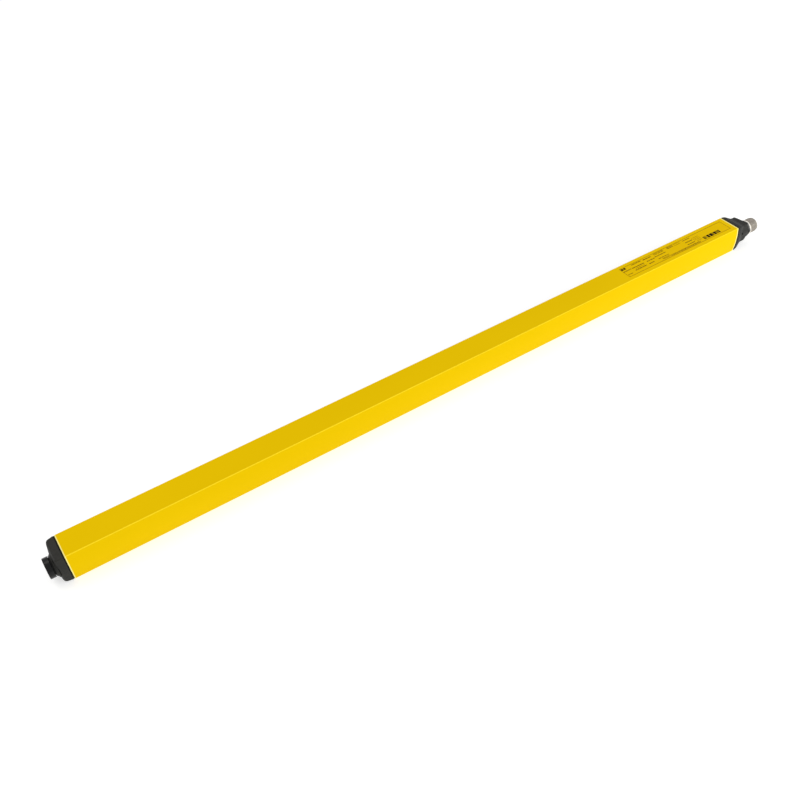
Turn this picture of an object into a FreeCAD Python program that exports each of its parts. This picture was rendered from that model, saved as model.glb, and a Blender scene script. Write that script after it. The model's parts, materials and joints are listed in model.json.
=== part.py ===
"""Safety light curtain: an extruded housing with eight optics modules, two end caps, a plugged
extension socket at one end and a threaded connector at the other."""
import FreeCAD, Part
import math
import os
import Sketcher

# Driving dimensions in millimetres. X runs along the housing from the plugged end to the
# connector end, depth runs from the rear creases to the front rims, and width is across both.
DIMENSIONS = {
    "profile_length": 1240.0,
    "section_width": 48.0,
    "section_depth": 42.0,
    "crown_rise": 2.2,
    "crease_radius": 0.9,
    "wall": 2.0,
    "cavity_corner": 0.6,
    "rim_width": 2.5,
    "rebate_depth": 3.4,
    "ledge_width": 4.5,
    "ledge_height": 1.8,
    "port_rear": 8.0,
    "port_front": 32.6,
    "port_side": 15.0,
    "port_radius": 3.5,
    "port_hole": 1.7,
    "port_slot": 1.6,
    "port_web": 2.6,
    "guide_depth": 20.3,
    "guide_gap": 1.8,
    "guide_rib": 1.4,
    "guide_reach": 2.5,
    "rail_side": 8.0,
    "rail_width": 1.5,
    "rail_top": 4.0,
    "tape_height": 0.5,
    "tape_width": 2.4,
    "window_height": 2.6,
    "window_gap": 0.2,
    "gasket_height": 1.8,
    "gasket_inset": 0.5,
    "spigot_reach": 6.0,
    "spigot_half": 11.2,
    "spigot_rear": 4.6,
    "spigot_front": 30.0,
    "spigot_clear": 0.1,
    "flange_end": 13.2,
    "dome_end": 14.9,
    "cut_bevel": 0.4,
    "axis_depth": 16.0,
    "cap_bore": 9.2,
    "screw_head_radius": 2.5,
    "screw_head_height": 2.4,
    "screw_seat": 10.2,
    "screw_shank": 1.65,
    "screw_reach": 12.0,
    "driver_bore": 2.6,
    "driver_reach": 8.0,
    "drive_slot_length": 3.4,
    "drive_slot_width": 0.8,
    "drive_slot_depth": 1.2,
    "shank_bore": 2.1,
    "boss_radius": 15.3,
    "boss_end": 16.6,
    "collar_radius": 12.4,
    "collar_end": 22.6,
    "plug_radius": 14.9,
    "plug_start": 18.3,
    "plug_end": 26.0,
    "plug_seal_start": 17.0,
    "plug_seal_height": 0.7,
    "plug_seal_radius": 14.4,
    "plug_slot_length": 16.0,
    "plug_slot_width": 1.8,
    "plug_slot_depth": 1.4,
    "plug_centre_radius": 3.6,
    "plug_centre_depth": 1.0,
    "socket_face": 21.6,
    "contact_circle": 5.4,
    "contact_radius": 0.7,
    "tower_inset": 5.7,
    "tower_corner": 4.2,
    "tower_top": 28.5,
    "neck_flats": 26.4,
    "neck_corner": 14.2,
    "neck_start": 35.5,
    "neck_end": 37.0,
    "nut_end": 40.4,
    "nut_flats": 27.0,
    "nut_corner": 15.2,
    "washer_end": 43.6,
    "washer_radius": 14.0,
    "thread_radius": 13.0,
    "connector_end": 62.0,
    "mouth_radius": 10.4,
    "mouth_floor": 53.0,
    "insert_face": 54.6,
    "tail_bore": 7.6,
    "tail_end": 28.0,
    "pin_circle": 6.6,
    "pin_radius": 0.5,
    "pin_end": 60.0,
    "module_start": 8.0,
    "module_length": 150.0,
    "module_gap": 0.4,
    "beam_pitch": 25.0,
    "optics_half": 11.4,
    "board_rear": 12.0,
    "board_height": 1.6,
    "carrier_front": 33.0,
    "aperture": 14.0,
    "wing_half": 21.6,
    "lens_plate": 1.5,
    "lens_radius": 7.4,
    "lens_rise": 2.1,
    "element_size": 4.0,
    "element_height": 2.2,
    "link_length": 10.0,
    "link_width": 8.0,
    "link_height": 1.8,
    "control_start": 1064.0,
    "control_end": 1226.0,
    "display_start": 1210.0,
    "display_end": 1233.0,
    "display_front": 36.4,
    "display_half": 10.5,
    "digit_length": 14.0,
    "digit_width": 9.0,
    "digit_depth": 0.8,
    "lamp_radius": 2.0,
    "lamp_pitch": 5.5,
    "lamp_depth": 1.2,
    "header_length": 9.0,
    "header_half": 7.0,
    "harness_radius": 3.4,
}
MODULES = 8
BEAMS = 6
CONTACTS = 8
PINS = 11
LAMPS = 3
# Degrees from the depth axis to the first corner of the hexagonal neck and nut.
NECK_ANGLE = 50

doc = FreeCAD.newDocument("light_curtain")
parts = []


class Size:
    """A number together with the sheet expression that gives it."""

    def __init__(self, text, value):
        self.text = text
        self.value = value

    def __add__(self, other):
        other = as_size(other)
        return Size("(%s + %s)" % (self.text, other.text), self.value + other.value)

    def __sub__(self, other):
        other = as_size(other)
        return Size("(%s - %s)" % (self.text, other.text), self.value - other.value)

    def __mul__(self, other):
        other = as_size(other)
        return Size("(%s * %s)" % (self.text, other.text), self.value * other.value)

    def __truediv__(self, other):
        other = as_size(other)
        return Size("(%s / %s)" % (self.text, other.text), self.value / other.value)

    def __radd__(self, other):
        return as_size(other) + self

    def __rsub__(self, other):
        return as_size(other) - self

    def __rmul__(self, other):
        return as_size(other) * self

    def __neg__(self):
        return Size("(-1 * %s)" % self.text, -self.value)


def as_size(number):
    """A plain number as a Size."""
    if isinstance(number, Size):
        return number
    return Size(repr(float(number)), float(number))


def dim(alias):
    """One driving dimension of the sheet."""
    return Size("dims." + alias, DIMENSIONS[alias])


def make_sheet():
    """The spreadsheet that holds every driving dimension."""
    sheet = doc.addObject("Spreadsheet::Sheet", "dims")
    for row, (alias, value) in enumerate(DIMENSIONS.items(), start=1):
        sheet.set("A%d" % row, alias)
        sheet.set("B%d" % row, str(value))
        sheet.setAlias("B%d" % row, alias)
    doc.recompute()


make_sheet()

HALF = dim("section_width") / 2
DEPTH = dim("section_depth")
LENGTH = dim("profile_length")
AXIS = dim("axis_depth")
CROWN = (HALF * HALF + dim("crown_rise") * dim("crown_rise")) / (2 * dim("crown_rise"))
LEDGE_REAR = DEPTH - dim("rebate_depth") - dim("ledge_height")
LEDGE_FRONT = DEPTH - dim("rebate_depth")
WINDOW_HALF = HALF - dim("rim_width") - dim("window_gap")
OVERLAP = 0.4


# ---------------------------------------------------------------- bodies, sketches, features

def new_body(label, along=0.0):
    """An empty body, moved so that the origin lies under the middle of the whole object."""
    body = doc.addObject("PartDesign::Body", label)
    body.Label = label
    body.AllowCompound = True
    middle_x = (LENGTH + dim("connector_end") - dim("plug_end")) / 2
    middle_y = (DEPTH - dim("crown_rise")) / 2
    for axis, size in (("x", along - middle_x), ("y", -middle_y), ("z", HALF)):
        body.setExpression("Placement.Base." + axis, as_size(size).text)
    parts.append(body)
    return body


def new_sketch(body, role, offset=0.0):
    """A sketch on one of the body's origin planes, moved along the plane's normal."""
    sketch = body.newObject("Sketcher::SketchObject", body.Name + "_sketch")
    plane = [item for item in body.Origin.OriginFeatures if item.Role == role][0]
    sketch.AttachmentSupport = [(plane, "")]
    sketch.MapMode = "FlatFace"
    sketch.setExpression("AttachmentOffset.Base.z", as_size(offset).text)
    return sketch


def cross_sketch(body, along=0.0):
    """A sketch across the housing: its x is depth and its y is width."""
    return new_sketch(body, "YZ_Plane", along)


def axial_sketch(body):
    """A sketch through the connector axis: its x runs along the housing, its y is the radius."""
    return new_sketch(body, "XZ_Plane", -AXIS)


def bind(sketch, constraint, size):
    """Adds a constraint and binds it to the sheet."""
    index = sketch.addConstraint(constraint)
    sketch.setExpression("Constraints[%d]" % index, size.text)


def polygon(sketch, points):
    """A closed outline through points given as pairs of sizes."""
    points = [(as_size(x), as_size(y)) for x, y in points]
    vectors = [FreeCAD.Vector(x.value, y.value, 0) for x, y in points]
    lines = []
    for start, end in zip(vectors, vectors[1:] + vectors[:1]):
        lines.append(sketch.addGeometry(Part.LineSegment(start, end), False))
    for line, (x, y) in zip(lines, points):
        bind(sketch, Sketcher.Constraint("DistanceX", -1, 1, line, 1, x.value), x)
        bind(sketch, Sketcher.Constraint("DistanceY", -1, 1, line, 1, y.value), y)
    for line, following in zip(lines, lines[1:] + lines[:1]):
        sketch.addConstraint(Sketcher.Constraint("Coincident", line, 2, following, 1))


def rectangle(sketch, x_low, y_low, x_high, y_high):
    """A closed rectangle between two corners."""
    polygon(sketch, [(x_low, y_low), (x_high, y_low), (x_high, y_high), (x_low, y_high)])


def circle(sketch, x, y, radius):
    """A circle by its centre and radius."""
    x, y, radius = as_size(x), as_size(y), as_size(radius)
    centre = FreeCAD.Vector(x.value, y.value, 0)
    normal = FreeCAD.Vector(0, 0, 1)
    index = sketch.addGeometry(Part.Circle(centre, normal, radius.value), False)
    bind(sketch, Sketcher.Constraint("DistanceX", -1, 1, index, 3, x.value), x)
    bind(sketch, Sketcher.Constraint("DistanceY", -1, 1, index, 3, y.value), y)
    bind(sketch, Sketcher.Constraint("Radius", index, radius.value), radius)


def crowned_outline(sketch, inset, corner):
    """The housing's outer outline moved inwards: a crowned rear, flat sides, four corners."""
    inset, corner = as_size(inset), as_size(corner)
    radius = CROWN - inset
    centre = CROWN - dim("crown_rise")
    side = HALF - inset
    front = DEPTH - inset
    rear_reach = math.sqrt((radius - corner).value ** 2 - (side - corner).value ** 2)
    rear_x = centre.value - rear_reach
    rear_y = (side - corner).value
    front_x = (front - corner).value
    tilt = math.atan2(rear_y, rear_reach)
    normal = FreeCAD.Vector(0, 0, 1)

    def arc(x, y, size, start, end):
        round_edge = Part.Circle(FreeCAD.Vector(x, y, 0), normal, size)
        return sketch.addGeometry(Part.ArcOfCircle(round_edge, start, end), False)

    def line(x_start, y_start, x_end, y_end):
        start = FreeCAD.Vector(x_start, y_start, 0)
        return sketch.addGeometry(Part.LineSegment(start, FreeCAD.Vector(x_end, y_end, 0)), False)

    crown = arc(centre.value, 0, radius.value, math.pi - tilt, math.pi + tilt)
    low_rear = arc(rear_x, -rear_y, corner.value, math.pi + tilt, 1.5 * math.pi)
    low_side = line(rear_x, -side.value, front_x, -side.value)
    low_front = arc(front_x, -rear_y, corner.value, 1.5 * math.pi, 2 * math.pi)
    front_edge = line(front.value, -rear_y, front.value, rear_y)
    high_front = arc(front_x, rear_y, corner.value, 0, 0.5 * math.pi)
    high_side = line(front_x, side.value, rear_x, side.value)
    high_rear = arc(rear_x, rear_y, corner.value, 0.5 * math.pi, math.pi - tilt)
    loop = [crown, low_rear, low_side, low_front, front_edge, high_front, high_side, high_rear]
    for edge, following in zip(loop, loop[1:] + loop[:1]):
        sketch.addConstraint(Sketcher.Constraint("Tangent", edge, 2, following, 1))
    bind(sketch, Sketcher.Constraint("DistanceX", -1, 1, crown, 3, centre.value), centre)
    sketch.addConstraint(Sketcher.Constraint("PointOnObject", crown, 3, -1))
    bind(sketch, Sketcher.Constraint("Radius", crown, radius.value), radius)
    bind(sketch, Sketcher.Constraint("DistanceY", low_side, 1, -1, 1, side.value), side)
    bind(sketch, Sketcher.Constraint("DistanceY", -1, 1, high_side, 1, side.value), side)
    bind(sketch, Sketcher.Constraint("DistanceX", -1, 1, front_edge, 1, front.value), front)
    bind(sketch, Sketcher.Constraint("Radius", low_rear, corner.value), corner)
    for rounded in (low_front, high_front, high_rear):
        sketch.addConstraint(Sketcher.Constraint("Equal", low_rear, rounded))


def extrude(body, kind, sketch, length, reverse=False, both=False):
    """A Pad or a Pocket of a sketch."""
    feature = body.newObject("PartDesign::" + kind, body.Name + "_" + kind.lower())
    feature.Profile = sketch
    feature.setExpression("Length", as_size(length).text)
    feature.Reversed = reverse
    feature.Midplane = both
    return feature


def pad(body, sketch, length, reverse=False, both=False):
    """Material added along the sketch's normal."""
    return extrude(body, "Pad", sketch, length, reverse, both)


def pocket(body, sketch, length, reverse=True, both=False):
    """Material removed along the sketch's normal, or against it when reverse is False."""
    return extrude(body, "Pocket", sketch, length, reverse, both)


def turn(body, kind, sketch, axis="H_Axis"):
    """A Revolution or a Groove through a full turn about an axis of its sketch."""
    feature = body.newObject("PartDesign::" + kind, body.Name + "_" + kind.lower())
    feature.Profile = sketch
    feature.ReferenceAxis = (sketch, [axis])
    feature.Angle = 360.0
    return feature


def turned(body, points):
    """A solid turned about the connector axis from an outline of (along, radius) points."""
    sketch = axial_sketch(body)
    polygon(sketch, points)
    return turn(body, "Revolution", sketch)


def loft(body, sketches):
    """A solid with straight flanks between cross sketches."""
    feature = body.newObject("PartDesign::AdditiveLoft", body.Name + "_loft")
    feature.Profile = sketches[0]
    feature.Sections = sketches[1:]
    feature.Ruled = True
    return feature


def repeat_along(body, feature, pitch, count):
    """Repeats a feature along the housing."""
    axis = [item for item in body.Origin.OriginFeatures if item.Role == "X_Axis"][0]
    pattern = body.newObject("PartDesign::LinearPattern", body.Name + "_row")
    pattern.Originals = [feature]
    pattern.Direction = (axis, [""])
    pattern.setExpression("Length", (as_size(pitch) * (count - 1)).text)
    pattern.Occurrences = count
    body.Tip = pattern
    return pattern


def repeat_round(body, feature, sketch, count):
    """Repeats a feature about the normal of its sketch through the sketch's own origin."""
    pattern = body.newObject("PartDesign::PolarPattern", body.Name + "_ring")
    pattern.Originals = [feature]
    pattern.Axis = (sketch, ["N_Axis"])
    pattern.Angle = 360.0
    pattern.Occurrences = count
    body.Tip = pattern
    return pattern


def port_places():
    """Depth and width of the four screw ports."""
    for depth in (dim("port_rear"), dim("port_front")):
        for side in (dim("port_side"), -dim("port_side")):
            yield depth, side


# ---------------------------------------------------------------- housing

def housing_profile():
    """The extruded housing: crowned rear, window rebate, screw ports, guide ribs and rails."""
    body = new_body("housing_profile")
    outline = cross_sketch(body)
    crowned_outline(outline, 0.0, dim("crease_radius"))
    pad(body, outline, LENGTH)
    cavity = cross_sketch(body)
    crowned_outline(cavity, dim("wall"), dim("cavity_corner"))
    pocket(body, cavity, LENGTH)
    front = cross_sketch(body)
    ledge_half = HALF - dim("ledge_width") - dim("wall")
    rectangle(front, LEDGE_REAR, -HALF + 0.5, DEPTH - 0.5, HALF - 0.5)
    pad(body, front, LENGTH)
    mouth = cross_sketch(body)
    rectangle(mouth, LEDGE_REAR - 0.5, -ledge_half, DEPTH + 1, ledge_half)
    pocket(body, mouth, LENGTH)
    rebate = cross_sketch(body)
    rebate_half = HALF - dim("rim_width")
    rectangle(rebate, LEDGE_FRONT, -rebate_half, DEPTH + 1, rebate_half)
    pocket(body, rebate, LENGTH)
    add_ports(body)
    add_ribs(body)
    bevel_ends(body)


def add_ports(body):
    """Four slotted screw ports, each on a web from the side wall."""
    inner = HALF - dim("wall")
    for depth, side in port_places():
        tube = cross_sketch(body)
        circle(tube, depth, side, dim("port_radius"))
        pad(body, tube, LENGTH)
        sign = 1.0 if side.value > 0 else -1.0
        web = cross_sketch(body)
        edges = sorted((side, (inner + OVERLAP) * sign), key=lambda size: size.value)
        half = dim("port_web") / 2
        rectangle(web, depth - half, edges[0], depth + half, edges[1])
        pad(body, web, LENGTH)
    for depth, side in port_places():
        bore = cross_sketch(body)
        circle(bore, depth, side, dim("port_hole"))
        pocket(body, bore, LENGTH)
        sign = 1.0 if side.value > 0 else -1.0
        slot = cross_sketch(body)
        tip = side - (dim("port_radius") + 0.5) * sign
        edges = sorted((side, tip), key=lambda size: size.value)
        half = dim("port_slot") / 2
        rectangle(slot, depth - half, edges[0], depth + half, edges[1])
        pocket(body, slot, LENGTH)


def add_ribs(body):
    """Guide ribs for the optics on both side walls, and two rails for the control board."""
    inner = HALF - dim("wall")
    low = dim("guide_depth") - dim("guide_rib")
    high = dim("guide_depth") + dim("guide_gap")
    for sign in (1.0, -1.0):
        reach = sorted(((inner - dim("guide_reach")) * sign, (inner + OVERLAP) * sign),
                       key=lambda size: size.value)
        for depth in (low, high):
            rib = cross_sketch(body)
            rectangle(rib, depth, reach[0], depth + dim("guide_rib"), reach[1])
            pad(body, rib, LENGTH)
        sides = sorted((dim("rail_side") * sign, (dim("rail_side") + dim("rail_width")) * sign),
                       key=lambda size: size.value)
        rail = cross_sketch(body)
        rectangle(rail, -0.6, sides[0], dim("rail_top"), sides[1])
        pad(body, rail, LENGTH)


def on_outline(point):
    """Whether a point of a cut end lies on the outer outline, not on an inner edge."""
    rear = -dim("crown_rise").value / 2
    front = (DEPTH - dim("crease_radius") / 2).value
    side = (HALF - dim("crease_radius")).value
    return point.y < rear or point.y > front or abs(point.z) > side


def bevel_ends(body):
    """A small bevel round the outside of both cut ends."""
    doc.recompute()
    base = body.Tip
    names = []
    for number, edge in enumerate(base.Shape.Edges, start=1):
        middle = edge.CenterOfMass
        across = edge.BoundBox.XLength < 0.01
        if across and on_outline(middle):
            names.append("Edge%d" % number)
    bevel = body.newObject("PartDesign::Chamfer", "housing_bevel")
    bevel.Base = (base, names)
    bevel.setExpression("Size", dim("cut_bevel").text)


def front_window():
    """The flat tinted window that is bonded into the rebate."""
    body = new_body("front_window")
    sketch = cross_sketch(body)
    rear = LEDGE_FRONT + dim("tape_height")
    rectangle(sketch, rear, -WINDOW_HALF, rear + dim("window_height"), WINDOW_HALF)
    pad(body, sketch, LENGTH)


def window_tape():
    """Two bonding strips between the ledges and the window."""
    body = new_body("window_tape")
    for sign in (1.0, -1.0):
        sketch = cross_sketch(body)
        edges = sorted((WINDOW_HALF * sign, (WINDOW_HALF - dim("tape_width")) * sign),
                       key=lambda size: size.value)
        rectangle(sketch, LEDGE_FRONT, edges[0], LEDGE_FRONT + dim("tape_height"), edges[1])
        pad(body, sketch, LENGTH)


# ---------------------------------------------------------------- end caps

def station(end, distance):
    """A place along the housing, at a distance outwards from its plain or connector end."""
    if end == "plain":
        return -as_size(distance)
    return LENGTH + distance


def cap_gasket(label, end):
    """The flat gasket between the profile's cut end and the cap."""
    body = new_body(label)
    start = station(end, 0.0)
    reverse = end == "plain"
    outline = cross_sketch(body, start)
    crowned_outline(outline, dim("gasket_inset"), dim("crease_radius"))
    pad(body, outline, dim("gasket_height"), reverse)
    opening = cross_sketch(body, start)
    rectangle(opening, dim("spigot_rear"), -dim("spigot_half"), dim("spigot_front"),
              dim("spigot_half"))
    pocket(body, opening, dim("gasket_height"), not reverse)
    for depth, side in port_places():
        hole = cross_sketch(body, start)
        circle(hole, depth, side, dim("shank_bore"))
        pocket(body, hole, dim("gasket_height"), not reverse)


def cap_body(body, end, stations):
    """The outer body of a cap, lofted through (distance, inset, corner radius), and its spigot."""
    sections = []
    for distance, inset, corner in stations:
        sketch = cross_sketch(body, station(end, distance))
        crowned_outline(sketch, inset, corner)
        sections.append(sketch)
    loft(body, sections)
    spigot = cross_sketch(body, station(end, dim("gasket_height") + 1.0))
    clear = dim("spigot_clear")
    rectangle(spigot, dim("spigot_rear") + clear, -dim("spigot_half") + clear,
              dim("spigot_front") - clear, dim("spigot_half") - clear)
    length = dim("spigot_reach") + dim("gasket_height") + 1.0
    pad(body, spigot, length, end == "connector")


def cap_screw_holes(body, end, depth_out):
    """Clearance holes for the four screws, with driver bores from their heads outwards."""
    reverse = end == "plain"
    for depth, side in port_places():
        shank = cross_sketch(body, station(end, 0.5))
        circle(shank, depth, side, dim("shank_bore"))
        pocket(body, shank, dim("screw_seat"), not reverse)
        driver = cross_sketch(body, station(end, dim("screw_seat")))
        circle(driver, depth, side, dim("driver_bore"))
        pocket(body, driver, depth_out, not reverse)


def end_cap_plain():
    """The cap of the plugged end: a domed flange, a filleted boss and the blanking collar."""
    body = new_body("end_cap_plain")
    end = dim("flange_end")
    cap_body(body, "plain", [(dim("gasket_height"), 0.1, 1.0), (end - 7.0, 0.5, 1.4),
                             (end - 3.0, 0.9, 2.0), (end - 1.2, 1.7, 2.8), (end, 3.4, 4.0),
                             (end + 0.8, 6.2, 5.4), (dim("dome_end"), 10.0, 7.0)])
    dome, boss = -dim("dome_end"), dim("boss_radius")
    turned(body, [(dome + 2.0, 0.0), (dome + 2.0, boss + 2.2), (dome + 0.2, boss + 2.2),
                  (dome - 0.3, boss + 0.9), (dome - 0.9, boss + 0.2), (dome - 1.3, boss),
                  (-dim("boss_end"), boss - 0.3), (-dim("boss_end"), dim("collar_radius")),
                  (-dim("collar_end"), dim("collar_radius")), (-dim("collar_end"), 0.0)])
    bore = cross_sketch(body, dim("spigot_reach") + 1.0)
    circle(bore, AXIS, 0.0, dim("cap_bore"))
    pocket(body, bore, dim("spigot_reach") + dim("collar_end") + 2.0, False)
    cap_screw_holes(body, "plain", dim("driver_reach"))


def hexagon(sketch, flats):
    """A hexagon about the connector axis, with one flat leaning towards the rear."""
    corner = flats / math.sqrt(3)
    points = []
    for step in range(6):
        angle = math.radians(60 * step + NECK_ANGLE)
        points.append((AXIS + corner * math.cos(angle), corner * math.sin(angle)))
    polygon(sketch, points)


def end_cap_connector():
    """The cap of the connector end: the flange draws in to a tower, and a cone to the hex neck."""
    body = new_body("end_cap_connector")
    top, start = LENGTH + dim("tower_top"), LENGTH + dim("neck_start")
    inset, corner = dim("tower_inset"), dim("tower_corner")
    cap_body(body, "connector", [(dim("gasket_height"), 0.1, 1.0), (6.0, 0.4, 1.4),
                                 (9.5, 1.0, 2.2), (12.5, 2.2, 3.0), (16.0, 3.7, 3.6),
                                 (19.0, inset - 0.9, 4.0), (22.0, inset - 0.1, corner),
                                 (dim("neck_start"), inset, corner)])
    neck = cross_sketch(body, LENGTH + 20.0)
    hexagon(neck, dim("neck_flats"))
    pad(body, neck, dim("neck_end") - 20.0)
    radius = dim("neck_corner")
    cone = axial_sketch(body)
    polygon(cone, [(top, radius + 12.1), (start - 4.2, radius + 5.1), (start - 1.6, radius + 1.7),
                   (start, radius), (start + 3.0, radius), (start + 3.0, radius + 28.0),
                   (top, radius + 28.0)])
    turn(body, "Groove", cone)
    bore = cross_sketch(body, LENGTH - dim("spigot_reach") - 1.0)
    circle(bore, AXIS, 0.0, dim("cap_bore"))
    pocket(body, bore, dim("spigot_reach") + dim("neck_end") + 2.0, True)
    cap_screw_holes(body, "connector", dim("neck_start"))


def cap_screws(label, end):
    """Four pan-head screws from the cap's flange into the profile's ports."""
    body = new_body(label)
    reverse = end == "plain"
    for depth, side in port_places():
        head = cross_sketch(body, station(end, dim("screw_seat")))
        circle(head, depth, side, dim("screw_head_radius"))
        pad(body, head, dim("screw_head_height"), reverse)
        shank = cross_sketch(body, station(end, dim("screw_seat")))
        circle(shank, depth, side, dim("screw_shank"))
        pad(body, shank, dim("screw_seat") + dim("screw_reach"), not reverse)
        recess = cross_sketch(body, station(end, dim("screw_seat") + dim("screw_head_height")))
        length, width = dim("drive_slot_length") / 2, dim("drive_slot_width") / 2
        rectangle(recess, depth - length, side - width, depth + length, side + width)
        pocket(body, recess, dim("drive_slot_depth"), reverse)


# ---------------------------------------------------------------- plugged end

def extension_socket():
    """The moulded contact carrier inside the plain cap's collar."""
    body = new_body("extension_socket")
    bore = dim("cap_bore")
    face = -dim("socket_face")
    turned(body, [(face, 0.0), (face, bore - 0.4), (face + 0.4, bore), (-1.0, bore),
                  (-1.0, bore - 1.4), (dim("spigot_reach") - 2.0, bore - 1.4),
                  (dim("spigot_reach") - 2.0, 0.0)])
    hole = cross_sketch(body, -dim("socket_face") - 0.5)
    ring_hole(hole, dim("contact_circle"), dim("contact_radius"))
    bored = pocket(body, hole, dim("socket_face") + dim("spigot_reach"), True)
    repeat_about_axis(body, bored, CONTACTS)


def ring_hole(sketch, circle_radius, radius):
    """One hole of a ring about the connector axis."""
    circle(sketch, AXIS, circle_radius, radius)


def repeat_about_axis(body, feature, count):
    """Repeats a feature about the connector axis."""
    guide = cross_sketch(body)
    guide.setExpression("AttachmentOffset.Base.x", AXIS.text)
    return repeat_round(body, feature, guide, count)


def extension_contacts():
    """A ring of straight contacts through the contact carrier."""
    body = new_body("extension_contacts")
    sketch = cross_sketch(body, -dim("socket_face") + 1.0)
    ring_hole(sketch, dim("contact_circle"), dim("contact_radius"))
    contact = pad(body, sketch, dim("socket_face") + dim("spigot_reach") - 0.5)
    repeat_about_axis(body, contact, CONTACTS)


def blanking_plug():
    """The cup that closes the extension socket over the collar, with a coin slot in its face."""
    body = new_body("blanking_plug")
    radius, end = dim("plug_radius"), dim("plug_end")
    collar = dim("collar_radius") + 0.05
    centre, floor = dim("plug_centre_radius"), dim("plug_centre_depth") - end
    turned(body, [(-dim("plug_start"), collar), (-dim("plug_start"), radius - 0.3),
                  (-dim("plug_start") - 0.3, radius), (-end + 0.8, radius),
                  (-end + 0.25, radius - 0.25), (-end, radius - 0.8), (-end, centre),
                  (floor, centre - 0.6), (floor, 0.0), (-dim("collar_end"), 0.0),
                  (-dim("collar_end"), collar)])
    slot = cross_sketch(body, -end)
    length, width = dim("plug_slot_length") / 2, dim("plug_slot_width") / 2
    rectangle(slot, AXIS - length, -width, AXIS + length, width)
    pocket(body, slot, dim("plug_slot_depth"), True)


def blanking_plug_seal():
    """The ring between the boss and the blanking plug."""
    body = new_body("blanking_plug_seal")
    start = -dim("plug_seal_start")
    end = start - dim("plug_seal_height")
    turned(body, [(start, dim("collar_radius")), (start, dim("plug_seal_radius")),
                  (end, dim("plug_seal_radius")), (end, dim("collar_radius"))])


# ---------------------------------------------------------------- connector end

def connector_shell():
    """The metal connector shell: the threaded mouth and the tail that passes the neck."""
    body = new_body("connector_shell")
    end, thread = LENGTH + dim("connector_end"), dim("thread_radius")
    floor, mouth = LENGTH + dim("mouth_floor"), dim("mouth_radius")
    shoulder, tail = LENGTH + dim("washer_end"), LENGTH + dim("tail_end")
    bore = dim("cap_bore")
    turned(body, [(tail, dim("tail_bore")), (tail, bore), (shoulder, bore), (shoulder, thread),
                  (end - 0.8, thread), (end, thread - 0.8), (end, mouth + 0.4),
                  (end - 0.4, mouth), (floor, mouth), (floor, dim("tail_bore"))])


def connector_insert():
    """The insulator that carries the pins, with its polarising rib."""
    body = new_body("connector_insert")
    floor, face = LENGTH + dim("mouth_floor"), LENGTH + dim("insert_face")
    rear = LENGTH + dim("tail_end") + 2.0
    turned(body, [(rear, 0.0), (rear, dim("tail_bore")), (floor, dim("tail_bore")),
                  (floor, dim("mouth_radius")), (face, dim("mouth_radius")), (face, 0.0)])
    rib = cross_sketch(body, face - 0.5)
    rectangle(rib, AXIS - 1.0, dim("mouth_radius") - 1.8, AXIS + 1.0, dim("mouth_radius") - 0.1)
    pad(body, rib, dim("pin_end") - dim("insert_face") + 0.5)
    hole = cross_sketch(body, face - 2.0)
    ring_hole(hole, dim("pin_circle"), dim("pin_radius"))
    bored = pocket(body, hole, 3.0, True)
    repeat_about_axis(body, bored, PINS)


def connector_pins():
    """The ring of pins."""
    body = new_body("connector_pins")
    start = dim("insert_face") - 2.0
    sketch = cross_sketch(body, LENGTH + start)
    ring_hole(sketch, dim("pin_circle"), dim("pin_radius"))
    pin = pad(body, sketch, dim("pin_end") - start)
    repeat_about_axis(body, pin, PINS)


def connector_washer():
    """The light sealing ring between the nut and the thread."""
    body = new_body("connector_washer")
    start, end = LENGTH + dim("nut_end"), LENGTH + dim("washer_end")
    outer, bore = dim("washer_radius"), dim("cap_bore")
    turned(body, [(start, bore), (start, outer - 0.3), (start + 0.3, outer),
                  (end - 0.3, outer), (end, outer - 0.3), (end, bore)])


def connector_nut():
    """The hexagonal nut with turned corners that clamps the connector to the neck."""
    body = new_body("connector_nut")
    sketch = cross_sketch(body, LENGTH + dim("neck_end"))
    hexagon(sketch, dim("nut_flats"))
    height = dim("nut_end") - dim("neck_end")
    pad(body, sketch, height)
    trim = axial_sketch(body)
    start, end = LENGTH + dim("neck_end"), LENGTH + dim("nut_end")
    radius = dim("nut_corner")
    polygon(trim, [(start - 1, radius - 0.4), (start, radius - 0.4), (start + 0.8, radius),
                   (end - 0.8, radius), (end, radius - 0.4), (end + 1, radius - 0.4),
                   (end + 1, radius + 6), (start - 1, radius + 6)])
    turn(body, "Groove", trim)
    bore = cross_sketch(body, start)
    circle(bore, AXIS, 0.0, dim("cap_bore"))
    pocket(body, bore, height, True)


# ---------------------------------------------------------------- electronics

def block(body, along, depth, width):
    """A box given by its three ranges."""
    sketch = cross_sketch(body, along[0])
    rectangle(sketch, depth[0], width[0], depth[1], width[1])
    return pad(body, sketch, along[1] - along[0])


def control_board():
    """The control board on its rails behind the last module."""
    body = new_body("control_board")
    rear = dim("rail_top")
    half = dim("spigot_half") - 0.2
    block(body, (dim("control_start"), dim("control_end")), (rear, rear + dim("board_height")),
          (-half, half))


def control_chips():
    """The packages on the control board's front side."""
    body = new_body("control_chips")
    top = dim("rail_top") + dim("board_height")
    start = dim("control_start")
    # Each package: distance from the board's end, length, height and width.
    packages = [(6, 14, 1.6, 14), (26, 14, 1.6, 14), (48, 10, 2.2, 16), (66, 18, 4.6, 12),
                (90, 18, 4.6, 12), (116, 8, 1.4, 8), (130, 12, 5.0, 16)]
    for offset, length, height, width in packages:
        block(body, (start + offset, start + (offset + length)), (top, top + height),
              (as_size(-width / 2), as_size(width / 2)))


def board_header():
    """The tall header that joins the connector's wiring to the control board."""
    body = new_body("board_header")
    top = dim("rail_top") + dim("board_height")
    end = dim("control_end")
    half = dim("header_half")
    block(body, (end - dim("header_length"), end), (top, dim("guide_depth") - 0.4), (-half, half))


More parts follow.
